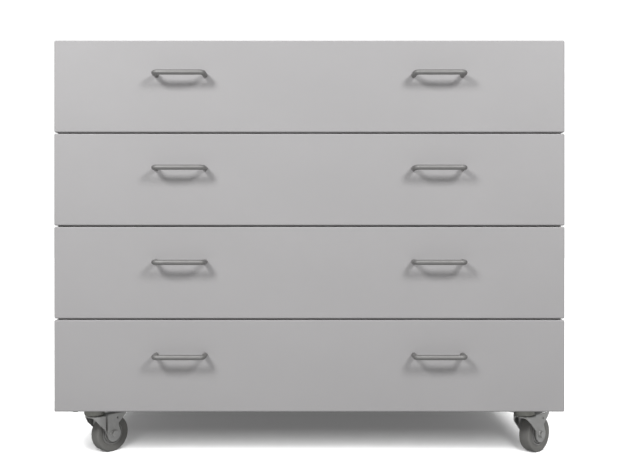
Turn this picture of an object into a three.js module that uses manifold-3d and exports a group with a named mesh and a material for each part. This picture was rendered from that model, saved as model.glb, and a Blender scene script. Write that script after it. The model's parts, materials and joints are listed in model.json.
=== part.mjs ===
// A low flat file cabinet: four full-width drawers on telescopic slides, in a folded steel
// shell on four swivel casters. Millimetres, +X right, +Y to the back, +Z up. The origin is on
// the floor, under the middle of the whole cabinet with its handles. Drawer 1 is the top one.
import * as THREE from "three";
import { mergeVertices } from "three/addons/utils/BufferGeometryUtils.js";
import Module from "manifold-3d";

const wasm = await Module();
wasm.setup();

// Driving dimensions
const WIDTH = 1000; // across the drawer fronts and the shell
const BODY_DEPTH = 700; // face of the drawer fronts to the back of the shell
const DRAWERS = 4;
const FRONT_HEIGHT = 180;
const FRONT_GAP = 2.5; // slot between one drawer front and the next
const CASTER_HEIGHT = 100; // floor to the underside of the shell
const SHEET = 1.5; // steel sheet of the shell, trays and fronts
const CLEARANCE = 0.3; // between pieces that touch or turn in one another
const OVERCUT = 1; // how far a cut runs past the face it opens

// Drawer fronts and handles
const FRONT_THICKNESS = 20;
const FRONT_FOLD_RADIUS = 3;
const FRONT_LIP = 16; // return lip round the open back of a front
const SHELL_SETBACK = 2; // shut gap between a front and the shell
const BAR_RADIUS = 5;
const BAR_STANDOFF = 32; // front face to the middle of the bar
const FOOT_SPACING = 96;
const BEND_RADIUS = 9;
const HANDLE_OFFSET = 252; // centre of the cabinet to the middle of a handle
const HANDLE_DROP = 68.5; // top of the front down to the handle
const SCREW_HOLE_RADIUS = 2.25;
const THREAD_RADIUS = 1.6;
const THREAD_DEPTH = 12;

// Trays
const TRAY_HALF_WIDTH = 485.2;
const TRAY_LENGTH = 640;
const TRAY_HEIGHT = 145;
const TRAY_RISE = 12; // bottom of the front up to the bottom of the tray

// Telescopic slides. Of each member: the back of its web and the tips of its flanges, both
// from the middle of the cabinet, half its height, its front end behind the shell's front
// edge, and its length. The outer member is on the shell and the inner one on the tray.
const SLIDE_SHEET = 1.2;
const SLIDE_RISE = 88; // bottom of the front up to the middle of its slides
const OUTER = { web: 498.2, tip: 487.5, half: 22.5, setback: 9.5, length: 640 };
const MIDDLE = { web: 495.5, tip: 487.5, half: 17.5, setback: 9.5, length: 620 };
const INNER = { web: 485.5, tip: 492.5, half: 12, setback: 4.5, length: 630 };

// Shell
const FLANGE = 13; // turned edges of the top cover
const BASE_FLANGE = 9; // turned edges of the base panel

// Casters
const CASTER_INSET_X = 63; // side of the shell in to the swivel axis
const CASTER_INSET_Y = 62; // front or back face in to the swivel axis
const TRAIL = 36; // swivel axis to the wheel's axle
const WHEEL_RADIUS = 37.5;
const TREAD_WIDTH = 24;
const HUB_WIDTH = 26;
const WHEEL_SIDES = 36;
const PLATE_X = 80;
const PLATE_Y = 70;
const PLATE_THICKNESS = 2.7;
const PLATE_SLOT = { edge: 9, halfLength: 3, radius: 3.5 }; // bolt slots, in from each corner
const RACE_RADIUS = 21;
const RACE_BOTTOM = 80.8;
const RACE_ROUND = 4; // slope at the top and the foot of the race
const KINGPIN_RADIUS = 5;
const RIVET_RADIUS = 8.5;
const RIVET_HEIGHT = 4.2;
const FORK_TOP = 80.5;
const FORK_SHEET = 2.5;
const FORK_HALF_WIDTH = 16; // over the flat legs
const HOOD_FRONT = 17; // swivel axis forward to the rounded front of the fork
const HOOD_HALF_WIDTH = 22.5;
const HOOD_FLAT = 11; // swivel axis back to where the hood starts to narrow
const HOOD_END = 20; // swivel axis back to where it has narrowed to the legs
const FORK_LENGTH = 65; // swivel axis back to the trailing end of the fork
const HOOD_SKIRT = 3; // height of the hood at its front
const TAIL_SKIRT = 4; // height of the fork at its trailing end
const LEG_FRONT = [[-12, 4.5], [-3, 17.5], [9, 29.5]]; // edge: behind the swivel, below the crown
const LEG_BACK = [[10, 20], [23, 32]]; // edge: behind the axle, above the axle
const LEG_HOLE = { x: 44, z: 69.5, radius: 1.8 };
const RELIEF = { front: 13.5, back: 18.5, bottom: 47.5, top: 77.2 }; // slot where one leg steps in
const LOBE_RADIUS = 16; // round end of each leg, about the axle
const HUB_RADIUS = 10;
const SHOULDER = { across: 3, down: 2.5 }; // slope at each edge of the tread
const WEB_RECESS = 3; // the web of the wheel lies this far inside its tread
const AXLE_RADIUS = 4;
const BOLT_HEAD_RADIUS = 7.5; // across the corners of the hexagon
const BOLT_HEAD_HEIGHT = 4.5;
const NUT_HEIGHT = 6;
const CASTERS = [
  { name: "front_left", side: -1, end: -1, turn: 49 },
  { name: "front_right", side: 1, end: -1, turn: 40 },
  { name: "rear_left", side: -1, end: 1, turn: 28 },
  { name: "rear_right", side: 1, end: 1, turn: 140 },
];

// Worked out from the above
const HALF = WIDTH / 2;
const HANDLE_PROJECTION = BAR_STANDOFF + BAR_RADIUS;
const FACE_Y = (HANDLE_PROJECTION - BODY_DEPTH) / 2; // outer face of the drawer fronts
const BACK_Y = FACE_Y + BODY_DEPTH;
const FRONT_BACK_Y = FACE_Y + FRONT_THICKNESS;
const SHELL_Y = FRONT_BACK_Y + SHELL_SETBACK;
const BODY_HEIGHT = DRAWERS * FRONT_HEIGHT + (DRAWERS - 1) * FRONT_GAP;
const TOP_Z = CASTER_HEIGHT + BODY_HEIGHT;
const drawerBottom = (row) => TOP_Z - row * FRONT_HEIGHT - (row - 1) * FRONT_GAP;

const material = (color, roughness, metalness) => () =>
  new THREE.MeshStandardMaterial({ color, roughness, metalness });
const powderCoat = material(0xb9b7b8, 0.45, 0);
const trayCoat = material(0xb3b1b2, 0.5, 0);
const stainless = material(0x9a9997, 0.32, 1);
const zinc = material(0x8f8f8c, 0.4, 1);
const boltSteel = material(0xa4a4a0, 0.35, 1);
const rubber = material(0x66655f, 0.7, 0);

const X = new THREE.Vector3(1, 0, 0);
const Y = new THREE.Vector3(0, 1, 0);
const Z = new THREE.Vector3(0, 0, 1);
const degrees = THREE.MathUtils.degToRad;

// Solids: closed geometry made into manifold bodies, so that they can be joined and cut
function solid(geometry) {
  const bare = geometry.clone();
  bare.deleteAttribute("normal");
  bare.deleteAttribute("uv");
  const merged = mergeVertices(bare, 1e-4);
  const vertProperties = new Float32Array(merged.attributes.position.array);
  const triVerts = new Uint32Array(merged.index.array);
  return new wasm.Manifold(new wasm.Mesh({ numProp: 3, vertProperties, triVerts }));
}

function geometryOf(body) {
  const mesh = body.getMesh();
  const geometry = new THREE.BufferGeometry();
  geometry.setAttribute("position", new THREE.BufferAttribute(mesh.vertProperties, 3));
  geometry.setIndex(new THREE.BufferAttribute(mesh.triVerts, 1));
  geometry.computeVertexNormals();
  return geometry;
}

function block(x0, x1, y0, y1, z0, z1) {
  const geometry = new THREE.BoxGeometry(x1 - x0, y1 - y0, z1 - z0);
  return geometry.translate((x0 + x1) / 2, (y0 + y1) / 2, (z0 + z1) / 2);
}

const blockSolid = (...corners) => solid(block(...corners));

// A straight extrusion of a shape, drawn in the plane of the first two directions
function extruded(shape, across, up, along, start, length) {
  const geometry = new THREE.ExtrudeGeometry(shape, {
    depth: length,
    bevelEnabled: false,
    curveSegments: 8,
  });
  geometry.applyMatrix4(new THREE.Matrix4().makeBasis(across, up, along));
  return geometry.translate(...along.clone().multiplyScalar(start));
}

const polygon = (points) => new THREE.Shape(points.map(([u, v]) => new THREE.Vector2(u, v)));

// A round rod along an axis, with its middle at a point
function rod(axis, radius, length, [x, y, z], sides = 16) {
  const geometry = new THREE.CylinderGeometry(radius, radius, length, sides);
  const turn = new THREE.Quaternion().setFromUnitVectors(Y, axis);
  return solid(geometry.applyQuaternion(turn).translate(x, y, z));
}

const cabinet = new THREE.Group();

function piece(name, geometry, makeMaterial, parent = cabinet) {
  const mesh = new THREE.Mesh(geometry, makeMaterial());
  mesh.name = name;
  parent.add(mesh);
  return mesh;
}

// Shell: one sheet folded round both sides and the back
function wrapperShape() {
  return polygon([
    [-HALF, SHELL_Y],
    [-HALF + SHEET, SHELL_Y],
    [-HALF + SHEET, BACK_Y - SHEET],
    [HALF - SHEET, BACK_Y - SHEET],
    [HALF - SHEET, SHELL_Y],
    [HALF, SHELL_Y],
    [HALF, BACK_Y],
    [-HALF, BACK_Y],
  ]);
}

const wrapperHeight = BODY_HEIGHT - SHEET - CLEARANCE;
piece("wrapper", extruded(wrapperShape(), X, Y, Z, CASTER_HEIGHT, wrapperHeight), powderCoat);

// A ring of flanges just inside the wrapper, open in the middle
function flangeRing(z0, z1) {
  const side = HALF - SHEET - CLEARANCE;
  const back = BACK_Y - SHEET - CLEARANCE;
  const ring = blockSolid(-side, side, SHELL_Y, back, z0, z1);
  const inner = side - SHEET;
  const y0 = SHELL_Y + SHEET;
  const middle = blockSolid(-inner, inner, y0, back - SHEET, z0 - OVERCUT, z1 + OVERCUT);
  return ring.subtract(middle);
}

// Top cover: a flat sheet laid over the wrapper, its turned edges tucked inside
const coverZ = TOP_Z - SHEET;
const coverSheet = blockSolid(-HALF, HALF, SHELL_Y, BACK_Y, coverZ, TOP_Z);
piece("top_cover", geometryOf(coverSheet.add(flangeRing(coverZ - FLANGE, coverZ))), powderCoat);

// Base panel: a shallow pan inside the foot of the wrapper
const baseZ = CASTER_HEIGHT + SHEET;
const baseSide = HALF - SHEET - CLEARANCE;
const baseBack = BACK_Y - SHEET - CLEARANCE;
const baseSheet = blockSolid(-baseSide, baseSide, SHELL_Y, baseBack, CASTER_HEIGHT, baseZ);
piece("base_panel", geometryOf(baseSheet.add(flangeRing(baseZ, baseZ + BASE_FLANGE))), powderCoat);

// Slide members: a channel lying on its side, its web upright
function channelShape({ web, tip, half }, side, z) {
  const inward = Math.sign(tip - web);
  const inside = web + inward * SLIDE_SHEET;
  const inner = half - SLIDE_SHEET;
  const outline = [
    [web, -half],
    [tip, -half],
    [tip, -inner],
    [inside, -inner],
    [inside, inner],
    [tip, inner],
    [tip, half],
    [web, half],
  ];
  return polygon(outline.map(([x, height]) => [side * x, z + height]));
}

function slideMember(name, member, side, z) {
  const back = SHELL_Y + member.setback + member.length;
  const backward = Y.clone().negate();
  const shape = channelShape(member, side, z);
  return piece(name, extruded(shape, X, Z, backward, -back, member.length), zinc);
}

// Tray: a box of sheet, open at the top
function tray(name, bottom) {
  const y0 = FRONT_BACK_Y + CLEARANCE;
  const y1 = y0 + TRAY_LENGTH;
  const outer = TRAY_HALF_WIDTH;
  const inner = outer - SHEET;
  const top = bottom + TRAY_HEIGHT;
  const box = blockSolid(-outer, outer, y0, y1, bottom, top);
  const hollow = blockSolid(-inner, inner, y0 + SHEET, y1 - SHEET, bottom + SHEET, top + OVERCUT);
  piece(name, geometryOf(box.subtract(hollow)), trayCoat);
}

// Front: a sheet pan folded back on all four edges, with return lips and an open back
function frontPan(name, bottom, handleZ) {
  const radius = FRONT_FOLD_RADIUS;
  const face = new THREE.Shape();
  const [x, z] = [HALF - radius, FRONT_HEIGHT / 2 - radius];
  face.moveTo(-x, -z).lineTo(x, -z).lineTo(x, z).lineTo(-x, z).closePath();
  const geometry = new THREE.ExtrudeGeometry(face, {
    depth: FRONT_THICKNESS,
    bevelThickness: radius,
    bevelSize: radius,
    bevelSegments: 3,
  });
  geometry.applyMatrix4(new THREE.Matrix4().makeBasis(X, Z, Y.clone().negate()));
  const middleZ = bottom + FRONT_HEIGHT / 2;
  const softBlock = solid(geometry.translate(0, FRONT_BACK_Y + radius, middleZ));
  const top = bottom + FRONT_HEIGHT;
  const keep = blockSolid(
    -HALF - OVERCUT, HALF + OVERCUT, FACE_Y - OVERCUT, FRONT_BACK_Y,
    bottom - OVERCUT, top + OVERCUT,
  );
  const hollow = blockSolid(
    -HALF + SHEET, HALF - SHEET, FACE_Y + SHEET, FRONT_BACK_Y - SHEET, bottom + SHEET, top - SHEET,
  );
  const opening = blockSolid(
    -HALF + FRONT_LIP, HALF - FRONT_LIP, FRONT_BACK_Y - 2 * SHEET, FRONT_BACK_Y + OVERCUT,
    bottom + FRONT_LIP, top - FRONT_LIP,
  );
  let pan = softBlock.intersect(keep).subtract(hollow).subtract(opening);
  for (const side of [-1, 1]) {
    for (const foot of [-1, 1]) {
      const holeX = side * HANDLE_OFFSET + (foot * FOOT_SPACING) / 2;
      pan = pan.subtract(rod(Y, SCREW_HOLE_RADIUS, 4 * SHEET, [holeX, FACE_Y, handleZ], 12));
    }
  }
  piece(name, geometryOf(pan), powderCoat);
}

// The line of a bent bar: out from one foot, along, and back to the other, with a point at
// each end of every straight stretch and evenly round both bends
class BarLine extends THREE.Curve {
  constructor() {
    super();
    const half = FOOT_SPACING / 2;
    const foot = -CLEARANCE;
    const turns = 4;
    const bend = (side, step) => {
      const angle = ((Math.PI / 2) * step) / turns;
      const x = half - BEND_RADIUS * (1 - Math.cos(angle));
      const y = -BAR_STANDOFF + BEND_RADIUS * (1 - Math.sin(angle));
      return new THREE.Vector3(side * x, y, 0);
    };
    const steps = Array.from({ length: turns + 1 }, (_, step) => step);
    this.points = [
      new THREE.Vector3(-half, foot, 0),
      ...steps.map((step) => bend(-1, step)),
      ...steps.toReversed().map((step) => bend(1, step)),
      new THREE.Vector3(half, foot, 0),
    ];
  }

  getPoint(t) {
    const place = t * (this.points.length - 1);
    const index = Math.min(Math.floor(place), this.points.length - 2);
    return this.points[index].clone().lerp(this.points[index + 1], place - index);
  }

  getUtoTmapping(u) {
    return u;
  }
}

// Handle: a bar bent to a flat bow, its feet tapped for screws from inside the front
function handle(name, x, z) {
  const section = new THREE.Shape().absarc(0, 0, BAR_RADIUS, 0, 2 * Math.PI);
  const line = new BarLine();
  const bar = new THREE.ExtrudeGeometry(section, {
    extrudePath: line,
    steps: line.points.length - 1,
    curveSegments: 5,
  });
  let body = solid(bar);
  for (const foot of [-1, 1]) {
    const hole = [(foot * FOOT_SPACING) / 2, -THREAD_DEPTH / 2, 0];
    body = body.subtract(rod(Y, THREAD_RADIUS, THREAD_DEPTH, hole, 8));
  }
  piece(name, geometryOf(body), stainless).position.set(x, FACE_Y, z);
}

for (let row = 1; row <= DRAWERS; row += 1) {
  const bottom = drawerBottom(row);
  const handleZ = bottom + FRONT_HEIGHT - HANDLE_DROP;
  frontPan(`front_${row}`, bottom, handleZ);
  tray(`tray_${row}`, bottom + TRAY_RISE);
  for (const [word, side] of [["left", -1], ["right", 1]]) {
    handle(`handle_${row}_${word}`, side * HANDLE_OFFSET, handleZ);
    slideMember(`slide_outer_${row}_${word}`, OUTER, side, bottom + SLIDE_RISE);
    slideMember(`slide_middle_${row}_${word}`, MIDDLE, side, bottom + SLIDE_RISE);
    slideMember(`slide_inner_${row}_${word}`, INNER, side, bottom + SLIDE_RISE);
  }
}

// Casters, each drawn with its swivel axis on the Z axis and its wheel trailing along +X

// A solid turned about the Z axis from an outline of [radius, height] points
function turned(points, sides) {
  const outline = points.map(([radius, height]) => new THREE.Vector2(radius, height));
  return solid(new THREE.LatheGeometry(outline, sides).rotateX(Math.PI / 2));
}

// Plate, swivel race and riveted kingpin in one
function casterPlate() {
  const top = CASTER_HEIGHT - CLEARANCE;
  const under = top - PLATE_THICKNESS;
  const [halfX, halfY] = [PLATE_X / 2, PLATE_Y / 2];
  let body = blockSolid(-halfX, halfX, -halfY, halfY, under, top);
  const { edge, halfLength, radius } = PLATE_SLOT;
  for (const x of [edge - halfX, halfX - edge]) {
    for (const y of [edge - halfY, halfY - edge]) {
      const slot = blockSolid(
        x - halfLength, x + halfLength, y - radius, y + radius,
        under - OVERCUT, top + OVERCUT,
      );
      const ends = [-halfLength, halfLength].map(
        (shift) => rod(Z, radius, 3 * PLATE_THICKNESS, [x + shift, y, under], 12),
      );
      body = body.subtract(slot.add(ends[0]).add(ends[1]));
    }
  }
  const rivetTop = FORK_TOP - FORK_SHEET - CLEARANCE;
  const neck = RACE_RADIUS - RACE_ROUND;
  const race = turned(
    [
      [0, under + OVERCUT],
      [neck, under + OVERCUT],
      [neck, under],
      [RACE_RADIUS, under - RACE_ROUND],
      [RACE_RADIUS, RACE_BOTTOM + RACE_ROUND],
      [neck, RACE_BOTTOM],
      [KINGPIN_RADIUS, RACE_BOTTOM],
      [KINGPIN_RADIUS, rivetTop],
      [RIVET_RADIUS, rivetTop],
      [RIVET_RADIUS, rivetTop - RIVET_HEIGHT / 2],
      [RIVET_RADIUS * 0.7, rivetTop - RIVET_HEIGHT],
      [0, rivetTop - RIVET_HEIGHT],
    ].toReversed(),
    24,
  );
  return geometryOf(body.add(race));
}

// Plan of the fork: a half-round hood in front about the swivel axis, stepped in to two flat
// legs
function forkPlan(inset, length) {
  const half = FORK_HALF_WIDTH - inset;
  const hood = HOOD_HALF_WIDTH - inset;
  const front = HOOD_FRONT - inset;
  const plan = new THREE.Shape().absellipse(0, 0, front, hood, Math.PI / 2, 1.5 * Math.PI);
  plan.lineTo(HOOD_FLAT, -hood).lineTo(HOOD_END, -half).lineTo(length, -half);
  return plan.lineTo(length, half).lineTo(HOOD_END, half).lineTo(HOOD_FLAT, hood).closePath();
}

// Side view of the fork: a shallow hood in front, and legs that narrow to a round lobe
// about the axle
function forkSide() {
  const leave = degrees(200);
  const arrive = degrees(390);
  const side = polygon([
    [-HOOD_FRONT - OVERCUT, FORK_TOP + OVERCUT],
    [-HOOD_FRONT - OVERCUT, FORK_TOP - HOOD_SKIRT],
    ...LEG_FRONT.map(([back, below]) => [back, FORK_TOP - below]),
  ]);
  side.absarc(TRAIL, WHEEL_RADIUS, LOBE_RADIUS, leave, arrive);
  for (const [back, above] of LEG_BACK) side.lineTo(TRAIL + back, WHEEL_RADIUS + above);
  side.lineTo(FORK_LENGTH, FORK_TOP - TAIL_SKIRT);
  return side.lineTo(FORK_LENGTH, FORK_TOP + OVERCUT).closePath();
}

function casterFork() {
  const bottom = WHEEL_RADIUS - LOBE_RADIUS - OVERCUT; // just below the lobes
  const ceiling = FORK_TOP - FORK_SHEET;
  const outer = extruded(forkPlan(0, FORK_LENGTH), X, Y, Z, bottom, FORK_TOP - bottom);
  const length = FORK_LENGTH + OVERCUT;
  const inside = bottom - OVERCUT;
  const inner = extruded(forkPlan(FORK_SHEET, length), X, Y, Z, inside, ceiling - inside);
  const width = 2 * (HOOD_HALF_WIDTH + OVERCUT);
  const backward = Y.clone().negate();
  const outline = extruded(forkSide(), X, Z, backward, -width / 2, width);
  const sleeve = AXLE_RADIUS + CLEARANCE;
  const collar = KINGPIN_RADIUS + CLEARANCE;
  const body = solid(outer)
    .subtract(solid(inner))
    .intersect(solid(outline))
    .subtract(rod(Y, LEG_HOLE.radius, width, [LEG_HOLE.x, 0, LEG_HOLE.z], 8))
    .subtract(blockSolid(RELIEF.front, RELIEF.back, -width, 0, RELIEF.bottom, RELIEF.top))
    .subtract(rod(Z, collar, 4 * FORK_SHEET, [0, 0, FORK_TOP], 20))
    .subtract(rod(Y, sleeve, width, [TRAIL, 0, WHEEL_RADIUS]));
  return geometryOf(body);
}

// Wheel: a tread with soft shoulders, a thinner web and a hub bored for the axle. Its flats
// lie at the full radius, so that one of them rests on the floor.
function casterWheel() {
  const tread = WHEEL_RADIUS / Math.cos(Math.PI / WHEEL_SIDES);
  const bore = AXLE_RADIUS + CLEARANCE;
  const half = [
    [bore, HUB_WIDTH / 2],
    [HUB_RADIUS, HUB_WIDTH / 2],
    [HUB_RADIUS + 1, TREAD_WIDTH / 2 - WEB_RECESS],
    [WHEEL_RADIUS - 11.5, TREAD_WIDTH / 2 - WEB_RECESS],
    [WHEEL_RADIUS - 9.5, TREAD_WIDTH / 2],
    [tread - SHOULDER.down, TREAD_WIDTH / 2],
    [tread, TREAD_WIDTH / 2 - SHOULDER.across],
  ];
  const other = half.toReversed().map(([radius, height]) => [radius, -height]);
  const outline = [...half, ...other, half[0]].toReversed();
  const wheel = new THREE.LatheGeometry(
    outline.map(([radius, height]) => new THREE.Vector2(radius, height)),
    WHEEL_SIDES,
    Math.PI / WHEEL_SIDES,
  );
  return geometryOf(solid(wheel.translate(TRAIL, 0, WHEEL_RADIUS)));
}

// Axle: a hexagon bolt across the fork, with its nut
function casterAxle() {
  const outside = FORK_HALF_WIDTH + CLEARANCE;
  const middle = [TRAIL, 0, WHEEL_RADIUS];
  const hexagon = (height, y) => rod(Y, BOLT_HEAD_RADIUS, height, [TRAIL, y, WHEEL_RADIUS], 6);
  const head = hexagon(BOLT_HEAD_HEIGHT, -outside - BOLT_HEAD_HEIGHT / 2);
  const nut = hexagon(NUT_HEIGHT, outside + NUT_HEIGHT / 2);
  const shank = rod(Y, AXLE_RADIUS, 2 * (outside + NUT_HEIGHT), middle);
  const trimmed = shank.intersect(
    blockSolid(0, FORK_LENGTH, -outside - OVERCUT, outside + NUT_HEIGHT, 0, FORK_TOP),
  );
  return geometryOf(trimmed.add(head).add(nut));
}

for (const { name, side, end, turn } of CASTERS) {
  const caster = new THREE.Group();
  const x = side * (HALF - CASTER_INSET_X);
  const y = end < 0 ? FACE_Y + CASTER_INSET_Y : BACK_Y - CASTER_INSET_Y;
  caster.position.set(x, y, 0);
  const swivel = new THREE.Group();
  swivel.rotation.z = degrees(turn);
  caster.add(swivel);
  cabinet.add(caster);
  piece(`caster_plate_${name}`, casterPlate(), zinc, caster);
  piece(`caster_fork_${name}`, casterFork(), zinc, swivel);
  piece(`caster_axle_${name}`, casterAxle(), boltSteel, swivel);
  piece(`caster_wheel_${name}`, casterWheel(), rubber, swivel);
}

export default cabinet;
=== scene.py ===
# The looks of a flat file cabinet: four drawers on telescopic slides, in a folded steel shell
# on four swivel casters. Everything is in metres, +X right, +Y to the back, +Z up.
import json
import math

import bmesh
import bpy
from mathutils import Matrix, Vector


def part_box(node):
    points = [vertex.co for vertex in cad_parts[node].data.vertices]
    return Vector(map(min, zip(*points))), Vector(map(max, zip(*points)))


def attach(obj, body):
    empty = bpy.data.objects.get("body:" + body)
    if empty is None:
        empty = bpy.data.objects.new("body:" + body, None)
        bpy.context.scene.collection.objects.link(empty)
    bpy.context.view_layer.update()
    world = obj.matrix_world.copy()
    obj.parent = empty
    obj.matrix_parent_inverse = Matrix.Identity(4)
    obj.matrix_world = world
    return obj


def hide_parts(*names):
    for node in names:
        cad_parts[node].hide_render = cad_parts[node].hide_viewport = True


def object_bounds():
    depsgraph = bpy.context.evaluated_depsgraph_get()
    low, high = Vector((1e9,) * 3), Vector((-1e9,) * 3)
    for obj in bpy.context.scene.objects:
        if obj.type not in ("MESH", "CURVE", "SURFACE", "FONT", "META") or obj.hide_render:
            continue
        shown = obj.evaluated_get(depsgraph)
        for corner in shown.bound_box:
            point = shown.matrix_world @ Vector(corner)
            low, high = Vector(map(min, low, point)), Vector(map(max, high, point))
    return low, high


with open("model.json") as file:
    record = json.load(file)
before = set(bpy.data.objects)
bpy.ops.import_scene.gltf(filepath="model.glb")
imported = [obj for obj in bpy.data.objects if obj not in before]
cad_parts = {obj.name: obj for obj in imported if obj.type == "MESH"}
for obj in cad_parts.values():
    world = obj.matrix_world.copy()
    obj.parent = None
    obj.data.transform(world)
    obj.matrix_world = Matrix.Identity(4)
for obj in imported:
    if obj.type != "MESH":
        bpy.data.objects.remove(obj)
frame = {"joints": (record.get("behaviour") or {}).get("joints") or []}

CAD_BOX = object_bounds()
MM = 0.001
SIDES = (("left", -1), ("right", 1))
DRAWERS = (1, 2, 3, 4)
CORNERS = ("front_left", "front_right", "rear_left", "rear_right")


# ---------------------------------------------------------------- sizes, from the frame

shell_lo, shell_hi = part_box("wrapper")
cover_lo, cover_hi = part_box("top_cover")
base_lo, base_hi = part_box("base_panel")
front_lo, front_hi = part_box("front_1")
FACE_Y = front_lo.y  # outer face of the drawer fronts
FRONT_BACK_Y = front_hi.y
CENTRE_Y = (CAD_BOX[0][1] + CAD_BOX[1][1]) / 2
SHEET = 1.5 * MM
FOLD = 2.5 * MM  # outer radius of a fold
SLIDE_SHEET = 1.2 * MM
AS_MADE = Matrix.Identity(4)


# ---------------------------------------------------------------- mesh helpers


def new_object(name, mesh, matrix=None):
    piece = bpy.data.objects.new(name, mesh)
    bpy.context.scene.collection.objects.link(piece)
    if matrix is not None:
        piece.matrix_world = matrix
    return piece


def finish_bmesh(bm, name, smooth_angle=32):
    """A clean mesh with its faces pointing out, smooth except at its sharp edges."""
    bmesh.ops.remove_doubles(bm, verts=bm.verts, dist=1e-6)
    bmesh.ops.recalc_face_normals(bm, faces=bm.faces)
    mesh = bpy.data.meshes.new(name)
    bm.to_mesh(mesh)
    bm.free()
    shade(mesh, smooth_angle)
    return mesh


def shade(mesh, smooth_angle=32):
    mesh.shade_smooth()
    mesh.set_sharp_from_angle(angle=math.radians(smooth_angle))


def applied(mesh, *modifiers):
    """The mesh after some modifiers, each given as (type, settings)."""
    carrier = new_object("carrier", mesh)
    for kind, settings in modifiers:
        modifier = carrier.modifiers.new(kind.lower(), kind)
        for key, value in settings.items():
            setattr(modifier, key, value)
    bpy.context.view_layer.update()
    graph = bpy.context.evaluated_depsgraph_get()
    result = bpy.data.meshes.new_from_object(carrier.evaluated_get(graph))
    result.name = mesh.name
    bpy.data.objects.remove(carrier)
    return result


def softened(mesh, width, segments=2, angle=32):
    """The mesh with its sharp edges rounded and its flat faces left flat."""
    bevel = {
        "width": width,
        "segments": segments,
        "limit_method": "ANGLE",
        "angle_limit": math.radians(angle),
        "use_clamp_overlap": True,
        "miter_outer": "MITER_ARC",
    }
    result = applied(mesh, ("BEVEL", bevel))
    shade(result, 40)
    return applied(result, ("WEIGHTED_NORMAL", {"keep_sharp": True}))


def cut(mesh, tools, operation="DIFFERENCE"):
    """The mesh cut by, or joined with, each tool mesh in turn."""
    for tool in tools:
        other = new_object("tool", tool)
        mesh = applied(
            mesh, ("BOOLEAN", {"operation": operation, "solver": "EXACT", "object": other})
        )
        bpy.data.objects.remove(other)
        if not mesh.polygons:
            raise RuntimeError(f"cutting by {tool.name} left nothing")
    return mesh


def turned(mesh, matrix):
    """A copy of the mesh with a turn or a shift built in."""
    copy = mesh.copy()
    copy.transform(matrix)
    return copy


def joined(name, meshes):
    """One mesh holding several, each given as (mesh, matrix), with their own materials."""
    materials = []
    bm = bmesh.new()
    for mesh, matrix in meshes:
        start = len(bm.faces)
        part = turned(mesh, matrix)
        bm.from_mesh(part)
        bpy.data.meshes.remove(part)
        bm.faces.ensure_lookup_table()
        for material in mesh.materials:
            if material not in materials:
                materials.append(material)
            for face in bm.faces[start:]:
                face.material_index = materials.index(material)
    result = bpy.data.meshes.new(name)
    bm.to_mesh(result)
    bm.free()
    for material in materials:
        result.materials.append(material)
    return result


def flat(u, v, w):
    return (u, v, w)


def prism(name, outline, place, low, high):
    """A flat outline of (u, v) points, extruded. place(u, v, w) gives a point in space."""
    bm = bmesh.new()
    rings = [[bm.verts.new(place(u, v, w)) for u, v in outline] for w in (low, high)]
    count = len(outline)
    for i in range(count):
        j = (i + 1) % count
        bm.faces.new((rings[0][i], rings[0][j], rings[1][j], rings[1][i]))
    caps = [bm.faces.new(rings[0]), bm.faces.new(list(reversed(rings[1])))]
    bm.normal_update()  # a hollow outline splits wrongly until its face knows its plane
    bmesh.ops.triangulate(bm, faces=caps)
    return finish_bmesh(bm, name)


def lathe(name, profile, sides=64, smooth_angle=32):
    """A solid turned about Z from a closed outline of (radius, height) points. Points at
    radius 0 are on the axis."""
    bm = bmesh.new()
    rings = []
    for radius, height in profile:
        if radius < 1e-7:
            rings.append([bm.verts.new((0, 0, height))] * sides)
            continue
        ring = []
        for i in range(sides):
            turn = 2 * math.pi * i / sides
            ring.append(bm.verts.new((radius * math.cos(turn), radius * math.sin(turn), height)))
        rings.append(ring)
    for ring, after in zip(rings, rings[1:] + rings[:1]):
        for i in range(sides):
            j = (i + 1) % sides
            corners = []
            for vert in (ring[i], ring[j], after[j], after[i]):
                if vert not in corners:
                    corners.append(vert)
            if len(corners) > 2:
                bm.faces.new(corners)
    return finish_bmesh(bm, name, smooth_angle)


def arc(centre, radius, start, end, steps):
    """Points round an arc, both ends included, with its angles in degrees."""
    points = []
    for i in range(steps + 1):
        turn = math.radians(start + (end - start) * i / steps)
        points.append((centre[0] + radius * math.cos(turn), centre[1] + radius * math.sin(turn)))
    return points


def rounded_path(points, radius, steps=5, closed=False):
    """A path of (u, v) points with an arc at each corner."""
    result = [] if closed else [points[0]]
    count = len(points)
    corners = range(count) if closed else range(1, count - 1)
    for i in corners:
        here = Vector(points[i])
        before = (Vector(points[i - 1]) - here).normalized()
        after = (Vector(points[(i + 1) % count]) - here).normalized()
        half = before.angle(after) / 2
        reach = radius / math.tan(half)
        centre = here + (before + after).normalized() * (radius / math.sin(half))
        first = here + before * reach - centre
        last = here + after * reach - centre
        sweep = first.angle_signed(last)
        for step in range(steps + 1):
            turned = Matrix.Rotation(-sweep * step / steps, 2) @ first
            result.append(tuple(centre + turned))
    if not closed:
        result.append(points[-1])
    return result


def ribbon(path, thickness):
    """The outline of a sheet that runs along a path, the path being its middle."""
    count = len(path)
    left, right = [], []
    for i, point in enumerate(path):
        here = Vector(point)
        back = (here - Vector(path[i - 1])).normalized() if i else None
        ahead = (Vector(path[i + 1]) - here).normalized() if i < count - 1 else None
        along = (back or ahead) if not (back and ahead) else (back + ahead).normalized()
        stretch = 1 / max(along.dot(back), 0.3) if back and ahead else 1
        across = Vector((-along.y, along.x)) * (thickness / 2 * stretch)
        left.append(tuple(here + across))
        right.append(tuple(here - across))
    return left + right[::-1]


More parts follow.
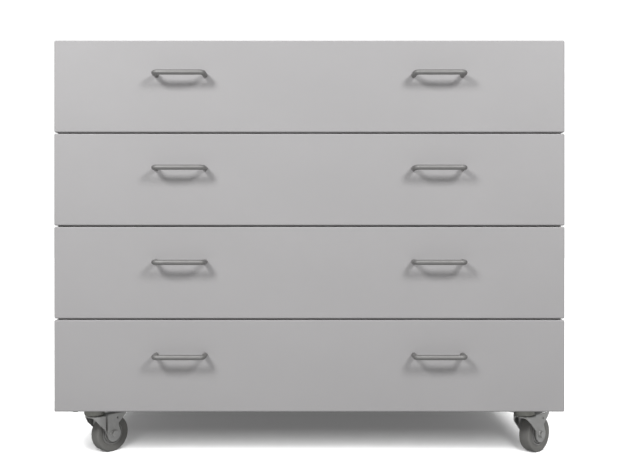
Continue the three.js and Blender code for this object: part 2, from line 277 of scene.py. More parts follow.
def folded_sheet(name, panels, thickness, radius, steps=4):
    """A sheet-metal piece: flat panels given by their outer corners, folded along every edge
    they share, with the sheet's thickness laid inside."""
    bm = bmesh.new()
    for panel in panels:
        bm.faces.new([bm.verts.new(corner) for corner in panel])
    bmesh.ops.remove_doubles(bm, verts=bm.verts, dist=1e-6)
    bmesh.ops.recalc_face_normals(bm, faces=bm.faces)
    folds = [e for e in bm.edges if len(e.link_faces) == 2 and e.calc_face_angle() > 0.2]
    bmesh.ops.bevel(
        bm, geom=folds, offset=radius, segments=steps, profile=0.5, affect="EDGES", clamp_overlap=True
    )
    mesh = finish_bmesh(bm, name, 180)
    solid = applied(mesh, ("SOLIDIFY", {"thickness": thickness, "offset": -1, "use_even_offset": True}))
    shade(solid, 40)
    return applied(solid, ("WEIGHTED_NORMAL", {"keep_sharp": True}))


def box_panels(lo, hi, open_side=None):
    """The six outer panels of a box, or five of them."""
    (x0, y0, z0), (x1, y1, z1) = lo, hi
    panels = {
        "front": [(x0, y0, z0), (x1, y0, z0), (x1, y0, z1), (x0, y0, z1)],
        "back": [(x1, y1, z0), (x0, y1, z0), (x0, y1, z1), (x1, y1, z1)],
        "left": [(x0, y1, z0), (x0, y0, z0), (x0, y0, z1), (x0, y1, z1)],
        "right": [(x1, y0, z0), (x1, y1, z0), (x1, y1, z1), (x1, y0, z1)],
        "bottom": [(x0, y1, z0), (x1, y1, z0), (x1, y0, z0), (x0, y0, z0)],
        "top": [(x0, y0, z1), (x1, y0, z1), (x1, y1, z1), (x0, y1, z1)],
    }
    if open_side:
        del panels[open_side]
    return list(panels.values())


def lip_panels(outer, inner):
    """A flat ring of four mitred panels between two loops of four corners."""
    return [[outer[i], outer[(i + 1) % 4], inner[(i + 1) % 4], inner[i]] for i in range(4)]


# ---------------------------------------------------------------- materials


def start_material(name):
    material = bpy.data.materials.new(name)
    material.use_nodes = True
    nodes = material.node_tree.nodes
    shader = nodes["Principled BSDF"]
    place = nodes.new("ShaderNodeTexCoord").outputs["Object"]
    return material, nodes, material.node_tree.links, shader, place


def noise(nodes, links, place, scale, detail=3, stretch=(1, 1, 1)):
    """Noise over a place in metres: scale is in waves per metre."""
    texture = nodes.new("ShaderNodeTexNoise")
    texture.inputs["Scale"].default_value = scale
    texture.inputs["Detail"].default_value = detail
    if stretch != (1, 1, 1):
        mapping = nodes.new("ShaderNodeMapping")
        mapping.inputs["Scale"].default_value = stretch
        links.new(place, mapping.inputs["Vector"])
        place = mapping.outputs["Vector"]
    links.new(place, texture.inputs["Vector"])
    return texture.outputs["Fac"]


def vary_color(nodes, links, shader, fac, low, high):
    ramp = nodes.new("ShaderNodeValToRGB")
    ramp.color_ramp.elements[0].position = 0.3
    ramp.color_ramp.elements[0].color = (*low, 1)
    ramp.color_ramp.elements[1].position = 0.7
    ramp.color_ramp.elements[1].color = (*high, 1)
    links.new(fac, ramp.inputs["Fac"])
    links.new(ramp.outputs["Color"], shader.inputs["Base Color"])


def vary_roughness(nodes, links, shader, fac, low, high):
    spread = nodes.new("ShaderNodeMapRange")
    spread.inputs["From Min"].default_value = 0.3
    spread.inputs["From Max"].default_value = 0.7
    spread.inputs["To Min"].default_value = low
    spread.inputs["To Max"].default_value = high
    links.new(fac, spread.inputs["Value"])
    links.new(spread.outputs["Result"], shader.inputs["Roughness"])


def add_bump(nodes, links, shader, heights):
    """Bumps laid over each other, each given as (height socket, depth in metres)."""
    normal = None
    for height, depth in heights:
        bump = nodes.new("ShaderNodeBump")
        bump.inputs["Strength"].default_value = 1
        bump.inputs["Distance"].default_value = depth
        links.new(height, bump.inputs["Height"])
        if normal:
            links.new(normal, bump.inputs["Normal"])
        normal = bump.outputs["Normal"]
    links.new(normal, shader.inputs["Normal"])


def shaded(color, factor):
    return tuple(channel * factor for channel in color)


def powder_coat(name, color, roughness):
    """Satin powder coat: fine orange peel, faint long waves in the film and slight mottling."""
    material, nodes, links, shader, place = start_material(name)
    broad = noise(nodes, links, place, 7, 2)
    patches = noise(nodes, links, place, 60, 3)
    peel = noise(nodes, links, place, 650, 2)
    speckle = noise(nodes, links, place, 2600, 1)
    vary_color(nodes, links, shader, broad, shaded(color, 0.985), shaded(color, 1.015))
    vary_roughness(nodes, links, shader, patches, roughness - 0.03, roughness + 0.03)
    add_bump(nodes, links, shader, [(peel, 0.00003), (speckle, 0.000006)])
    shader.inputs["Specular IOR Level"].default_value = 0.3
    return material


def brushed_bar(name, color):
    """Stainless bar drawn and brushed along its length. Its UV map is in metres."""
    material, nodes, links, shader, _ = start_material(name)
    along = nodes.new("ShaderNodeUVMap").outputs["UV"]
    streaks = noise(nodes, links, along, 1, 4, stretch=(25, 4200, 1))
    cloud = noise(nodes, links, along, 1, 2, stretch=(60, 120, 1))
    vary_color(nodes, links, shader, streaks, shaded(color, 0.9), shaded(color, 1.08))
    vary_roughness(nodes, links, shader, cloud, 0.60, 0.68)
    add_bump(nodes, links, shader, [(streaks, 0.000004)])
    shader.inputs["Metallic"].default_value = 1
    return material


def zinc_plate(name, color, roughness, mottle=0.12):
    """Zinc-plated steel: cloudy, with a fine tooth from the plating bath."""
    material, nodes, links, shader, place = start_material(name)
    cloud = noise(nodes, links, place, 90, 4)
    tooth = noise(nodes, links, place, 1800, 2)
    vary_color(nodes, links, shader, cloud, shaded(color, 1 - mottle), shaded(color, 1 + mottle))
    vary_roughness(nodes, links, shader, cloud, roughness - 0.06, roughness + 0.06)
    add_bump(nodes, links, shader, [(tooth, 0.000012)])
    shader.inputs["Metallic"].default_value = 1
    return material


def rubber_compound(name, color, roughness, grain=0.00004):
    """Moulded rubber or plastic: dull, finely grained, a little uneven in tone."""
    material, nodes, links, shader, place = start_material(name)
    cloud = noise(nodes, links, place, 55, 3)
    skin = noise(nodes, links, place, 1400, 3)
    vary_color(nodes, links, shader, cloud, shaded(color, 0.92), shaded(color, 1.08))
    vary_roughness(nodes, links, shader, cloud, roughness - 0.05, roughness + 0.05)
    add_bump(nodes, links, shader, [(skin, grain)])
    return material


SHELL = powder_coat("shell_powder_coat", (0.385, 0.380, 0.383), 0.58)
FRONT = powder_coat("front_powder_coat", (0.385, 0.378, 0.382), 0.56)
TRAY = powder_coat("tray_powder_coat", (0.37, 0.366, 0.368), 0.58)
BAR = brushed_bar("brushed_stainless", (0.31, 0.306, 0.302))
SLIDE = zinc_plate("bright_zinc", (0.55, 0.56, 0.57), 0.40, 0.05)
CASTER = zinc_plate("dull_zinc", (0.62, 0.62, 0.61), 0.5, 0.07)
RACE = zinc_plate("race_zinc", (0.32, 0.32, 0.295), 0.5, 0.08)
BOLT = zinc_plate("bolt_zinc", (0.62, 0.62, 0.61), 0.4, 0.06)
BALL = zinc_plate("ball_steel", (0.62, 0.62, 0.62), 0.16, 0.02)
TREAD = rubber_compound("tread_rubber", (0.21, 0.207, 0.197), 0.62)
HUB = rubber_compound("hub_plastic", (0.32, 0.317, 0.31), 0.45, 0.00002)
BUMPER = rubber_compound("bumper_rubber", (0.05, 0.05, 0.05), 0.6)
CAGE = rubber_compound("cage_plastic", (0.09, 0.09, 0.095), 0.5, 0.00001)


def add_piece(name, mesh, material, body, node=None, matrix=None):
    """A finished piece: its material, the body it rides on and the CAD node it stands for."""
    if not mesh.materials:
        mesh.materials.append(material)
    piece = new_object(name, mesh, matrix)
    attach(piece, body)
    if node:
        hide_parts(node)
    return piece


def at(x, y, z):
    return Matrix.Translation((x, y, z))


def facing(x, y, z, direction):
    """A place with its Z axis turned to a direction."""
    return at(x, y, z) @ Vector(direction).to_track_quat("Z", "Y").to_matrix().to_4x4()


# ---------------------------------------------------------------- fasteners


def pan_head(name, radius, height):
    """A pan-head screw with a cross recess, its head up from Z 0."""
    dome = arc((radius - height * 0.8, height * 0.2), height * 0.8, 0, 90, 5)
    head = lathe(name, [(0, 0), (radius, 0), *dome, (0, height)], 32)
    slots = []
    for wide, long in ((0.12, 0.55), (0.55, 0.12)):
        x, y = radius * wide, radius * long
        outline = [(-x, -y), (x, -y), (x, y), (-x, y)]
        slots.append(prism("slot", outline, flat, height * 0.4, 2 * height))
    result = cut(head, slots)
    shade(result)
    return result


def hexagon_head(name, radius, height, washer_radius, washer_height):
    """A chamfered hexagon on a washer, its seat at Z 0. The radius is across its corners."""
    body = prism(name, arc((0, 0), radius, 0, 300, 5), flat, washer_height, height)
    outside = radius * 1.1
    crown = radius * 0.93
    chamfer = [(0, 0), (outside, 0), (outside, height * 0.84), (crown, height), (0, height)]
    body = cut(body, [lathe("chamfer", chamfer)], "INTERSECT")
    shade(body, 25)
    rim = washer_height * 0.25
    washer = [
        (0, 0),
        (washer_radius, 0),
        (washer_radius, washer_height - rim),
        (washer_radius - rim, washer_height),
        (0, washer_height),
    ]
    return joined(name, [(body, AS_MADE), (lathe("washer", washer), AS_MADE)])


CROSS_SCREW = pan_head("cross_screw", 3.6 * MM, 1.3 * MM)
TRUSS_SCREW = pan_head("truss_screw", 5.0 * MM, 2.0 * MM)
PLATE_BOLT = hexagon_head("plate_bolt", 5.8 * MM, 4.7 * MM, 6.2 * MM, 1.1 * MM)


# ---------------------------------------------------------------- shell

BACK_SCREWS = 5  # along the top of the back, and as many along the bottom
SEAT_DEPTH = 1.4 * MM  # how far the back is pressed in for a screw's head
SEAT_RADIUS = 3.9 * MM
SEAT_MOUTH = 5.2 * MM


def hem_path(x, front):
    """The front edge of the left side from above: folded in on itself, and back out of sight."""
    inside = SHEET + 0.1 * MM
    depth = 8 * MM
    turn = arc((x + inside / 2, front + 1.2 * MM), inside / 2, 0, -180, 6)
    return [(x + inside, front + depth), *turn]


def back_screw_places():
    """Where the screws go through the wrapper's back, into the cover and into the base."""
    span = shell_hi.x - 60 * MM
    below_top = 7 * MM
    above_bottom = 6 * MM
    across = [-span + 2 * span * i / (BACK_SCREWS - 1) for i in range(BACK_SCREWS)]
    return {
        "cover_screw": [(x, shell_hi.z - below_top) for x in across],
        "base_screw": [(x, shell_lo.z + above_bottom) for x in across],
    }


def make_wrapper():
    """One sheet folded round both sides and the back, its front edges hemmed, with a pressed
    seat for each screw in its back."""
    half = SHEET / 2
    left, right = shell_lo.x + half, shell_hi.x - half
    front, back = shell_lo.y, shell_hi.y - half
    corners = [(left, front + 2 * MM), (left, back), (right, back), (right, front + 2 * MM)]
    hem = hem_path(left, front)
    other_hem = [(-x, y) for x, y in reversed(hem)]
    path = hem + rounded_path(corners, FOLD, 6)[1:-1] + other_hem
    sheet = prism("wrapper_sheet", ribbon(path, SHEET), flat, shell_lo.z, shell_hi.z)
    clear = 1 * MM
    outline = [(0, -SEAT_DEPTH), (SEAT_RADIUS, -SEAT_DEPTH), (SEAT_MOUTH, clear), (0, clear)]
    seat = lathe("seat", outline, 32)
    places = [spot for spots in back_screw_places().values() for spot in spots]
    seats = joined("seats", [(seat, facing(x, shell_hi.y, z, (0, 1, 0))) for x, z in places])
    result = cut(sheet, [seats])
    shade(result)
    return result


def make_cover():
    """A flat sheet over the wrapper, and the turned edges that tuck down inside it."""
    inset = SHEET + 0.3 * MM
    top = cover_hi.z
    corners = [
        (cover_lo.x, cover_lo.y),
        (cover_hi.x, cover_lo.y),
        (cover_hi.x, cover_hi.y),
        (cover_lo.x, cover_hi.y),
    ]
    outline = rounded_path(corners, FOLD, 5, closed=True)
    sheet = softened(prism("cover_sheet", outline, flat, top - SHEET, top), 0.4 * MM)
    ring_lo = (cover_lo.x + inset, cover_lo.y, cover_lo.z)
    ring_hi = (cover_hi.x - inset, cover_hi.y - inset, top - SHEET / 2)
    skirt = folded_sheet("cover_skirt", box_panels(ring_lo, ring_hi, "bottom"), SHEET, FOLD)
    return joined("cover", [(sheet, AS_MADE), (skirt, AS_MADE)])


def make_base():
    return folded_sheet("base", box_panels(tuple(base_lo), tuple(base_hi), "top"), SHEET, FOLD)


def make_shell():
    add_piece("wrapper_sheet", make_wrapper(), SHELL, "cabinet", "wrapper")
    add_piece("top_cover_sheet", make_cover(), SHELL, "cabinet", "top_cover")
    add_piece("base_panel_sheet", make_base(), SHELL, "cabinet", "base_panel")
    # Screws that hold the cover and the base to the back of the wrapper, flush in their seats
    seat_y = shell_hi.y - SEAT_DEPTH + 0.01 * MM
    for name, places in back_screw_places().items():
        for i, (x, z) in enumerate(places):
            place = facing(x, seat_y, z, (0, 1, 0))
            add_piece(f"{name}_{i + 1}", CROSS_SCREW, BOLT, "cabinet", matrix=place)


# ---------------------------------------------------------------- drawers

SLIDE_SCREW_Y = (-240 * MM, 0, 240 * MM)  # from the middle of the cabinet
FRONT_SCREW_RISE = (22 * MM, 123 * MM)  # from the bottom of the tray
FRONT_SCREW_REACH = (120 * MM, 330 * MM, 462 * MM)  # from the middle, to either side
BUMPER_INSET = 7 * MM


def make_front_mesh():
    """The sheet pan of the top drawer's front, with mitred return lips round its open back."""
    lip = 16 * MM
    lo, hi = front_lo, front_hi
    panels = box_panels(tuple(lo), tuple(hi), "back")
    y = hi.y
    outer = [(lo.x, y, lo.z), (hi.x, y, lo.z), (hi.x, y, hi.z), (lo.x, y, hi.z)]
    inner = [
        (lo.x + lip, y, lo.z + lip),
        (hi.x - lip, y, lo.z + lip),
        (hi.x - lip, y, hi.z - lip),
        (lo.x + lip, y, hi.z - lip),
    ]
    return folded_sheet("front_panel", panels + lip_panels(outer, inner), SHEET, 3 * MM, 5)


def make_tray_mesh():
    """The top drawer's tray: a folded box with its top edges turned in."""
    lo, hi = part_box("tray_1")
    turned_in = 9 * MM
    panels = box_panels(tuple(lo), tuple(hi), "top")
    z = hi.z
    outer = [(lo.x, lo.y, z), (hi.x, lo.y, z), (hi.x, hi.y, z), (lo.x, hi.y, z)]
    inner = [
        (lo.x + turned_in, lo.y + turned_in, z),
        (hi.x - turned_in, lo.y + turned_in, z),
        (hi.x - turned_in, hi.y - turned_in, z),
        (lo.x + turned_in, hi.y - turned_in, z),
    ]
    return folded_sheet("tray_sheet", panels + lip_panels(outer, inner), SHEET, FOLD)


def make_bar_mesh():
    """A bent round bar, its middle foot line at the origin, bowing out towards -Y."""
    lo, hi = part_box("handle_1_left")
    radius = (hi.z - lo.z) / 2
    half = (hi.x - lo.x) / 2 - radius
    reach = FACE_Y - lo.y - radius
    bend = 9 * MM
    steps = 12
    centre = (half - bend, -reach + bend)
    right = arc(centre, bend, 0, -90, steps)
    left = [(-u, v) for u, v in reversed(right)]
    chamfer = 0.6 * MM
    stem = [(half, 0), (half, -chamfer)]
    path = stem + right + left + [(-half, -chamfer), (-half, 0)]
    full = [radius] * (len(path) - 2)
    thickness = [radius - chamfer, *full, radius - chamfer]
    sides = 32
    bm = bmesh.new()
    uv_layer = bm.loops.layers.uv.new("UVMap")
    rings, lengths = [], []
    total = 0
    for i, (u, v) in enumerate(path):
        here = Vector((u, v))
        before = Vector(path[max(i - 1, 0)])
        after = Vector(path[min(i + 1, len(path) - 1)])
        along = (after - before).normalized()
        across = Vector((-along.y, along.x))
        total += (here - before).length
        lengths.append(total)
        ring = []
        for k in range(sides):
            turn = 2 * math.pi * k / sides
            shift = across * (thickness[i] * math.cos(turn))
            ring.append(bm.verts.new((u + shift.x, v + shift.y, thickness[i] * math.sin(turn))))
        rings.append(ring)
    girth = 2 * math.pi * radius
    for i in range(len(rings) - 1):
        for k in range(sides):
            j = (k + 1) % sides
            face = bm.faces.new((rings[i][k], rings[i][j], rings[i + 1][j], rings[i + 1][k]))
            spots = ((i, k), (i, k + 1), (i + 1, k + 1), (i + 1, k))
            for loop, (a, b) in zip(face.loops, spots):
                loop[uv_layer].uv = (lengths[a], girth * b / sides)
    bm.faces.new(rings[0])
    bm.faces.new(list(reversed(rings[-1])))
    return finish_bmesh(bm, "handle_bar")


def make_bumper_mesh():
    profile = [(0, 0), (5 * MM, 0), (4.7 * MM, 1.1 * MM), (4.0 * MM, 1.5 * MM), (0, 1.6 * MM)]
    return lathe("bumper", profile, 32)


def make_drawers():
    front_mesh = make_front_mesh()
    tray_mesh = make_tray_mesh()
    bar_mesh = make_bar_mesh()
    bumper_mesh = make_bumper_mesh()
    tray_lo, tray_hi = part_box("tray_1")
    for row in DRAWERS:
        body = f"drawer_{row}"
        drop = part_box(f"front_{row}")[0].z - front_lo.z
        shift = at(0, 0, drop)
        add_piece(f"front_{row}_panel", front_mesh, FRONT, body, f"front_{row}", shift)
        add_piece(f"tray_{row}_sheet", tray_mesh, TRAY, body, f"tray_{row}", shift)
        slide_z = sum(c.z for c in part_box(f"slide_inner_{row}_left")) / 2
        for word, side in SIDES:
            lo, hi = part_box(f"handle_{row}_{word}")
            place = at((lo.x + hi.x) / 2, FACE_Y, (lo.z + hi.z) / 2)
            name = f"handle_{row}_{word}"
            add_piece(f"{name}_bar", bar_mesh, BAR, body, name, place)
            # Screws through the tray's side into the slide, seen from inside the tray
            for i, y in enumerate(SLIDE_SCREW_Y):
                spot = facing(side * (tray_hi.x - SHEET), y + CENTRE_Y, slide_z, (-side, 0, 0))
                screw = f"slide_screw_{row}_{word}_{i + 1}"
                add_piece(screw, TRUSS_SCREW, BOLT, body, matrix=spot)
            # Screws through the tray's front wall into the lips of the front
            for i, rise in enumerate(FRONT_SCREW_RISE):
                for k, reach in enumerate(FRONT_SCREW_REACH):
                    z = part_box(f"tray_{row}")[0].z + rise
                    spot = facing(side * reach, tray_lo.y + SHEET, z, (0, 1, 0))
                    screw = f"front_screw_{row}_{word}_{i + 1}_{k + 1}"
                    add_piece(screw, TRUSS_SCREW, BOLT, body, matrix=spot)
            # A rubber bumper on the back of the front, which meets the edge of the shell
            lo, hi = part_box(f"front_{row}")
            spot = facing(side * (hi.x - BUMPER_INSET), FRONT_BACK_Y, (lo.z + hi.z) / 2, (0, 1, 0))
            add_piece(f"bumper_{row}_{word}", bumper_mesh, BUMPER, body, matrix=spot)


# ---------------------------------------------------------------- telescopic slides

FIXING_Y = [y * MM for y in (-262, -130, 0, 130, 262)]  # slots in the webs
FIXING_LONG = 14 * MM
FIXING_TALL = 5 * MM
TIP_CURL = (("outer", 1.5 * MM), ("middle", 0.5 * MM), ("inner", 0.0))
OUTER_RUN_X = 491.6 * MM  # balls between the cabinet and intermediate members
INNER_RUN_X = 490.4 * MM  # balls between the intermediate and drawer members
BALL_SPACING = 22 * MM
MIDDLE_TRAVEL = 300 * MM
CAGE_HALF = 2.6 * MM
CAGE_HALF_SHEET = 0.35 * MM


def member_profile(node, side, curl):
    """Across a slide member: an upright web, two flanges and a curled tip on each. The curl
    is how far the tips turn towards the balls, inwards if positive."""
    lo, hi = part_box(node)
    half = SLIDE_SHEET / 2
    outer_x, inner_x = (lo.x, hi.x) if side < 0 else (hi.x, lo.x)
    if "inner" in node:
        outer_x, inner_x = inner_x, outer_x
    into = math.copysign(1, inner_x - outer_x)
    web = outer_x + into * half
    tip = inner_x - into * half * 0.3
    z0, z1 = lo.z + half, hi.z - half
    bend = 1.6 * MM
    straight_end = tip - into * 1.4 * MM
    corners = [(straight_end, z0), (web, z0), (web, z1), (straight_end, z1)]
    channel = rounded_path(corners, bend, 6)
    return ribbon([(tip, z0 + curl), *channel, (tip, z1 - curl)], SLIDE_SHEET)


def across_slide(u, v, w):
    return (w, u, v)


def long_hole(x, y, half, radius):
    """The outline of a round-ended slot, half being from its middle to the middle of an end."""
    return arc((x + half, y), radius, -90, 90, 8) + arc((x - half, y), radius, 90, 270, 8)


def slotted(mesh, node):
    """The member with fixing slots punched through its web."""
    lo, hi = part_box(node)
    z = (lo.z + hi.z) / 2
    clear = 5 * MM
    tools = []
    for y in FIXING_Y:
        outline = long_hole(y, z, (FIXING_LONG - FIXING_TALL) / 2, FIXING_TALL / 2)
        tools.append(prism("slot", outline, across_slide, lo.x - clear, hi.x + clear))
    result = cut(mesh, tools)
    shade(result)
    return result


def along_slide(u, v, w):
    return (u, w, v)


def make_ball():
    bm = bmesh.new()
    bmesh.ops.create_icosphere(bm, subdivisions=2, radius=1)
    ball = finish_bmesh(bm, "ball", 180)
    ball.materials.append(BALL)
    return ball


def make_ball_row(ball, x, z, radius, front, back):
    """A strip cage with its row of balls, running along Y."""
    lo = (x - CAGE_HALF, front, z - CAGE_HALF_SHEET)
    hi = (x + CAGE_HALF, back, z + CAGE_HALF_SHEET)
    bm = bmesh.new()
    for panel in box_panels(lo, hi):
        bm.faces.new([bm.verts.new(corner) for corner in panel])
    cage = finish_bmesh(bm, "cage")
    cage.materials.append(CAGE)
    parts = [(cage, AS_MADE)]
    count = int((back - front) / BALL_SPACING)
    for i in range(count):
        y = front + BALL_SPACING * (i + 0.5)
        parts.append((ball, at(x, y, z) @ Matrix.Scale(radius, 4)))
    return parts


def make_ball_runs(ball, word, side):
    """The four rows of balls in one slide: above and below, outside and inside its
    intermediate member."""
    outer_lo, outer_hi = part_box(f"slide_outer_1_{word}")
    middle_lo, middle_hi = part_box(f"slide_middle_1_{word}")
    inner_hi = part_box(f"slide_inner_1_{word}")[1]
    z = (outer_lo.z + outer_hi.z) / 2
    outer_face = outer_hi.z - SLIDE_SHEET
    middle_face = middle_hi.z - SLIDE_SHEET
    parts = []
    for up in (-1, 1):
        height = (outer_face + middle_hi.z) / 2 - z
        radius = (outer_face - middle_hi.z) / 2
        front, back = middle_lo.y + MIDDLE_TRAVEL + 10 * MM, middle_hi.y - 20 * MM
        parts += make_ball_row(ball, side * OUTER_RUN_X, z + up * height, radius, front, back)
        height = (middle_face + inner_hi.z) / 2 - z
        radius = (middle_face - inner_hi.z) / 2
        front, back = middle_lo.y + 20 * MM, inner_hi.y - MIDDLE_TRAVEL - 15 * MM
        parts += make_ball_row(ball, side * INNER_RUN_X, z + up * height, radius, front, back)
    return joined(f"ball_runs_{word}", parts)


def make_slides():
    members = {}
    for word, side in SIDES:
        for part, curl in TIP_CURL:
            node = f"slide_{part}_1_{word}"
            lo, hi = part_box(node)
            profile = member_profile(node, side, curl)
            mesh = prism(f"slide_{part}_{word}", profile, along_slide, lo.y, hi.y)
            if part != "middle":
                mesh = slotted(mesh, node)
            members[part, word] = mesh
    ball = make_ball()
    runs = {word: make_ball_runs(ball, word, side) for word, side in SIDES}
    for row in DRAWERS:
        middles = f"slide_middles_{row}"
        riders = (("outer", "cabinet"), ("middle", middles), ("inner", f"drawer_{row}"))
        for word, side in SIDES:
            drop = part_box(f"slide_outer_{row}_{word}")[0].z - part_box(f"slide_outer_1_{word}")[0].z
            shift = at(0, 0, drop)
            for part, body in riders:
                node = f"slide_{part}_{row}_{word}"
                mesh = members[part, word]
                add_piece(f"{node}_member", mesh, SLIDE, body, node, shift)
            name = f"ball_runs_{row}_{word}"
            add_piece(name, runs[word], BALL, middles, matrix=shift)


# ---------------------------------------------------------------- casters
# Each mesh is made about its swivel axis, with the floor at Z 0 and the wheel trailing
# along +X, and is then turned and moved into place.

TRAIL = 36 * MM
AXLE_Z = 37.5 * MM
WHEEL_R = 37.5 * MM
PLATE_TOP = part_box("caster_plate_front_left")[1].z
FORK_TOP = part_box("caster_fork_front_left")[1].z
FORK_SHEET = 2.5 * MM
LEG_HALF = 16 * MM
HOOD_FRONT = 17 * MM
HOOD_HALF = 22.5 * MM
HOOD_FLAT = 11 * MM  # where the hood starts to narrow
HOOD_END = 20 * MM  # where it has narrowed to the legs
LOBE_R = 16 * MM
FORK_END = 65 * MM
PLATE_SHEET = 2.7 * MM
BOLT_PLACES = [(31 * sx * MM, 26 * sy * MM) for sx in (-1, 1) for sy in (-1, 1)]
AXLE_PLACE = at(TRAIL, 0, AXLE_Z) @ Matrix.Rotation(math.radians(90), 4, "X")


def make_plate():
    """Pressed top plate with rounded corners and a slot for each bolt."""
    top = PLATE_TOP
    under = top - PLATE_SHEET
    clear = 3 * MM
    x, y = 40 * MM, 35 * MM
    outline = rounded_path([(-x, -y), (x, -y), (x, y), (-x, y)], 7 * MM, 8, closed=True)
    plate = prism("plate", outline, flat, under, top)
    slots = []
    for u, v in BOLT_PLACES:
        shape = long_hole(u, v, 3 * MM, 3.5 * MM)
        slots.append(prism("slot", shape, flat, under - clear, top + clear))
    return softened(cut(plate, slots), 0.4 * MM)


def make_race():
    """The bowl of the swivel race under the plate, rounded in to a flat rim over the fork."""
    under = PLATE_TOP - PLATE_SHEET
    low = FORK_TOP + 0.3 * MM
    outer = 21 * MM
    shoulder = 1.4 * MM
    round_over = 3.2 * MM
    bowl = [
        (0, under),
        (outer - shoulder, under),
        *arc((outer - shoulder, under - shoulder), shoulder, 70, 0, 4),
        *arc((outer - round_over, low + round_over), round_over, 0, -80, 8),
        (15 * MM, low),
        (0, low),
    ]
    return lathe("race", bowl, 80)


def make_kingpin():
    """Riveted kingpin: a domed head under the fork's crown."""
    top = FORK_TOP + 0.2 * MM
    seat = FORK_TOP - FORK_SHEET - 0.3 * MM
    head = 8.5 * MM
    shank = 5 * MM
    profile = [
        (0, top),
        (shank, top),
        (shank, seat),
        (head, seat),
        *arc((head - 2.5 * MM, seat - 1.4 * MM), 2.5 * MM, 0, -80, 5),
        (0, seat - 4.2 * MM),
    ]
    return lathe("kingpin", profile, 48)


def fork_skin(low):
    """The outside of the fork: from above, a half-oval hood stepped in to two flat legs that
    run past the tail. The crown's edge is rolled over, and it is open below and behind."""
    past = FORK_END + 6 * MM
    hood = [(HOOD_FRONT * u, HOOD_HALF * v) for u, v in arc((0, 0), 1, 90, 270, 28)]
    step = [hood[-1], (HOOD_FLAT, -HOOD_HALF), (HOOD_END, -LEG_HALF), (past, -LEG_HALF)]
    near = rounded_path(step, 3.0 * MM, 4)
    far = [(u, -v) for u, v in reversed(near)]
    plan = hood + near[1:] + far[:-1]
    bm = bmesh.new()
    top = [bm.verts.new((u, v, FORK_TOP)) for u, v in plan]
    bottom = [bm.verts.new((u, v, low)) for u, v in plan]
    bm.faces.new(top)
    crown_edges = []
    for i in range(len(plan)):
        j = (i + 1) % len(plan)
        if plan[i][0] > FORK_END and plan[j][0] > FORK_END:
            continue
        bm.faces.new((top[i], bottom[i], bottom[j], top[j]))
        crown_edges.append(bm.edges.get((top[i], top[j])))
    bmesh.ops.recalc_face_normals(bm, faces=bm.faces)
    bmesh.ops.bevel(bm, geom=crown_edges, offset=2.9 * MM, segments=5, profile=0.5, affect="EDGES")
    return finish_bmesh(bm, "fork", 180)


def fork_side():
    """The fork from the side: the hood's thin rim, which sweeps down the front of the leg to
    a round lobe about the axle, and up behind it to the tail."""
    front = -HOOD_FRONT - 2 * MM
    above = FORK_TOP + 2 * MM
    lobe = arc((TRAIL, AXLE_Z), LOBE_R, 200, 390, 36)
    sweep = [
        (front, FORK_TOP - 2.7 * MM),
        (-12 * MM, FORK_TOP - 4.5 * MM),
        (-3 * MM, FORK_TOP - 17.5 * MM),
        (9 * MM, FORK_TOP - 29.5 * MM),
        lobe[0],
    ]
    rear = [
        lobe[-1],
        (TRAIL + 10 * MM, AXLE_Z + 20 * MM),
        (TRAIL + 23 * MM, AXLE_Z + 32 * MM),
        (FORK_END, FORK_TOP - 4 * MM),
    ]
    outline = rounded_path(sweep, 4 * MM, 4)[:-1] + lobe[:-1] + rounded_path(rear, 4 * MM, 4)
    return [(front, above), *outline, (FORK_END, above)]


def make_fork():
    """Pressed fork: the skin thickened to sheet, cut to its side view, and bored. A relief
    slot runs down one side where the hood steps in to the leg."""
    thicken = {"thickness": FORK_SHEET, "offset": -1, "use_even_offset": True}
    shell = applied(fork_skin(15 * MM), ("SOLIDIFY", thicken))
    wide = HOOD_HALF + 4 * MM

    def across(u, v, w):
        return (u, w, v)

    keep = prism("keep", fork_side(), across, -wide, wide)
    hole = arc((44 * MM, 69.5 * MM), 1.8 * MM, 0, 345, 23)
    axle = arc((TRAIL, AXLE_Z), 4.3 * MM, 0, 352, 44)
    half_slot = 2.5 * MM
    middle = HOOD_FLAT + 5 * MM
    slot_foot = arc((middle, 50 * MM), half_slot, 180, 360, 10)
    slot_head = arc((middle, 74.7 * MM), half_slot, 0, 180, 10)
    tools = [prism("bore", shape, across, -wide, wide) for shape in (hole, axle)]
    tools.append(prism("slot", slot_foot + slot_head, across, -wide, 0))
    low, high = FORK_TOP - 8 * MM, FORK_TOP + 8 * MM
    bore = 5.3 * MM
    pivot = lathe("pivot", [(0, low), (bore, low), (bore, high), (0, high)])
    body = cut(cut(shell, [keep], "INTERSECT"), [*tools, pivot])
    return softened(body, 0.35 * MM, 2, 38)


def about_axle(mesh):
    """Turned about Z when made; laid across the fork at the axle."""
    return joined(mesh.name, [(mesh, AXLE_PLACE)])


def make_tyre():
    """Rubber tyre with a slightly crowned tread, small round shoulders and a flat sidewall."""
    half = 12 * MM
    inner = 23.5 * MM
    right = [
        (inner, half - 2.0 * MM),
        (25 * MM, half - 1.2 * MM),
        (27 * MM, half - 0.5 * MM),
        (30 * MM, half),
        *arc((WHEEL_R - 2.9 * MM, half - 2.6 * MM), 2.6 * MM, 90, 12, 6),
        (WHEEL_R - 0.15 * MM, half - 4.5 * MM),
        (WHEEL_R, half - 7 * MM),
    ]
    left = [(r, -h) for r, h in reversed(right)]
    return about_axle(lathe("tyre", right + left, 120))


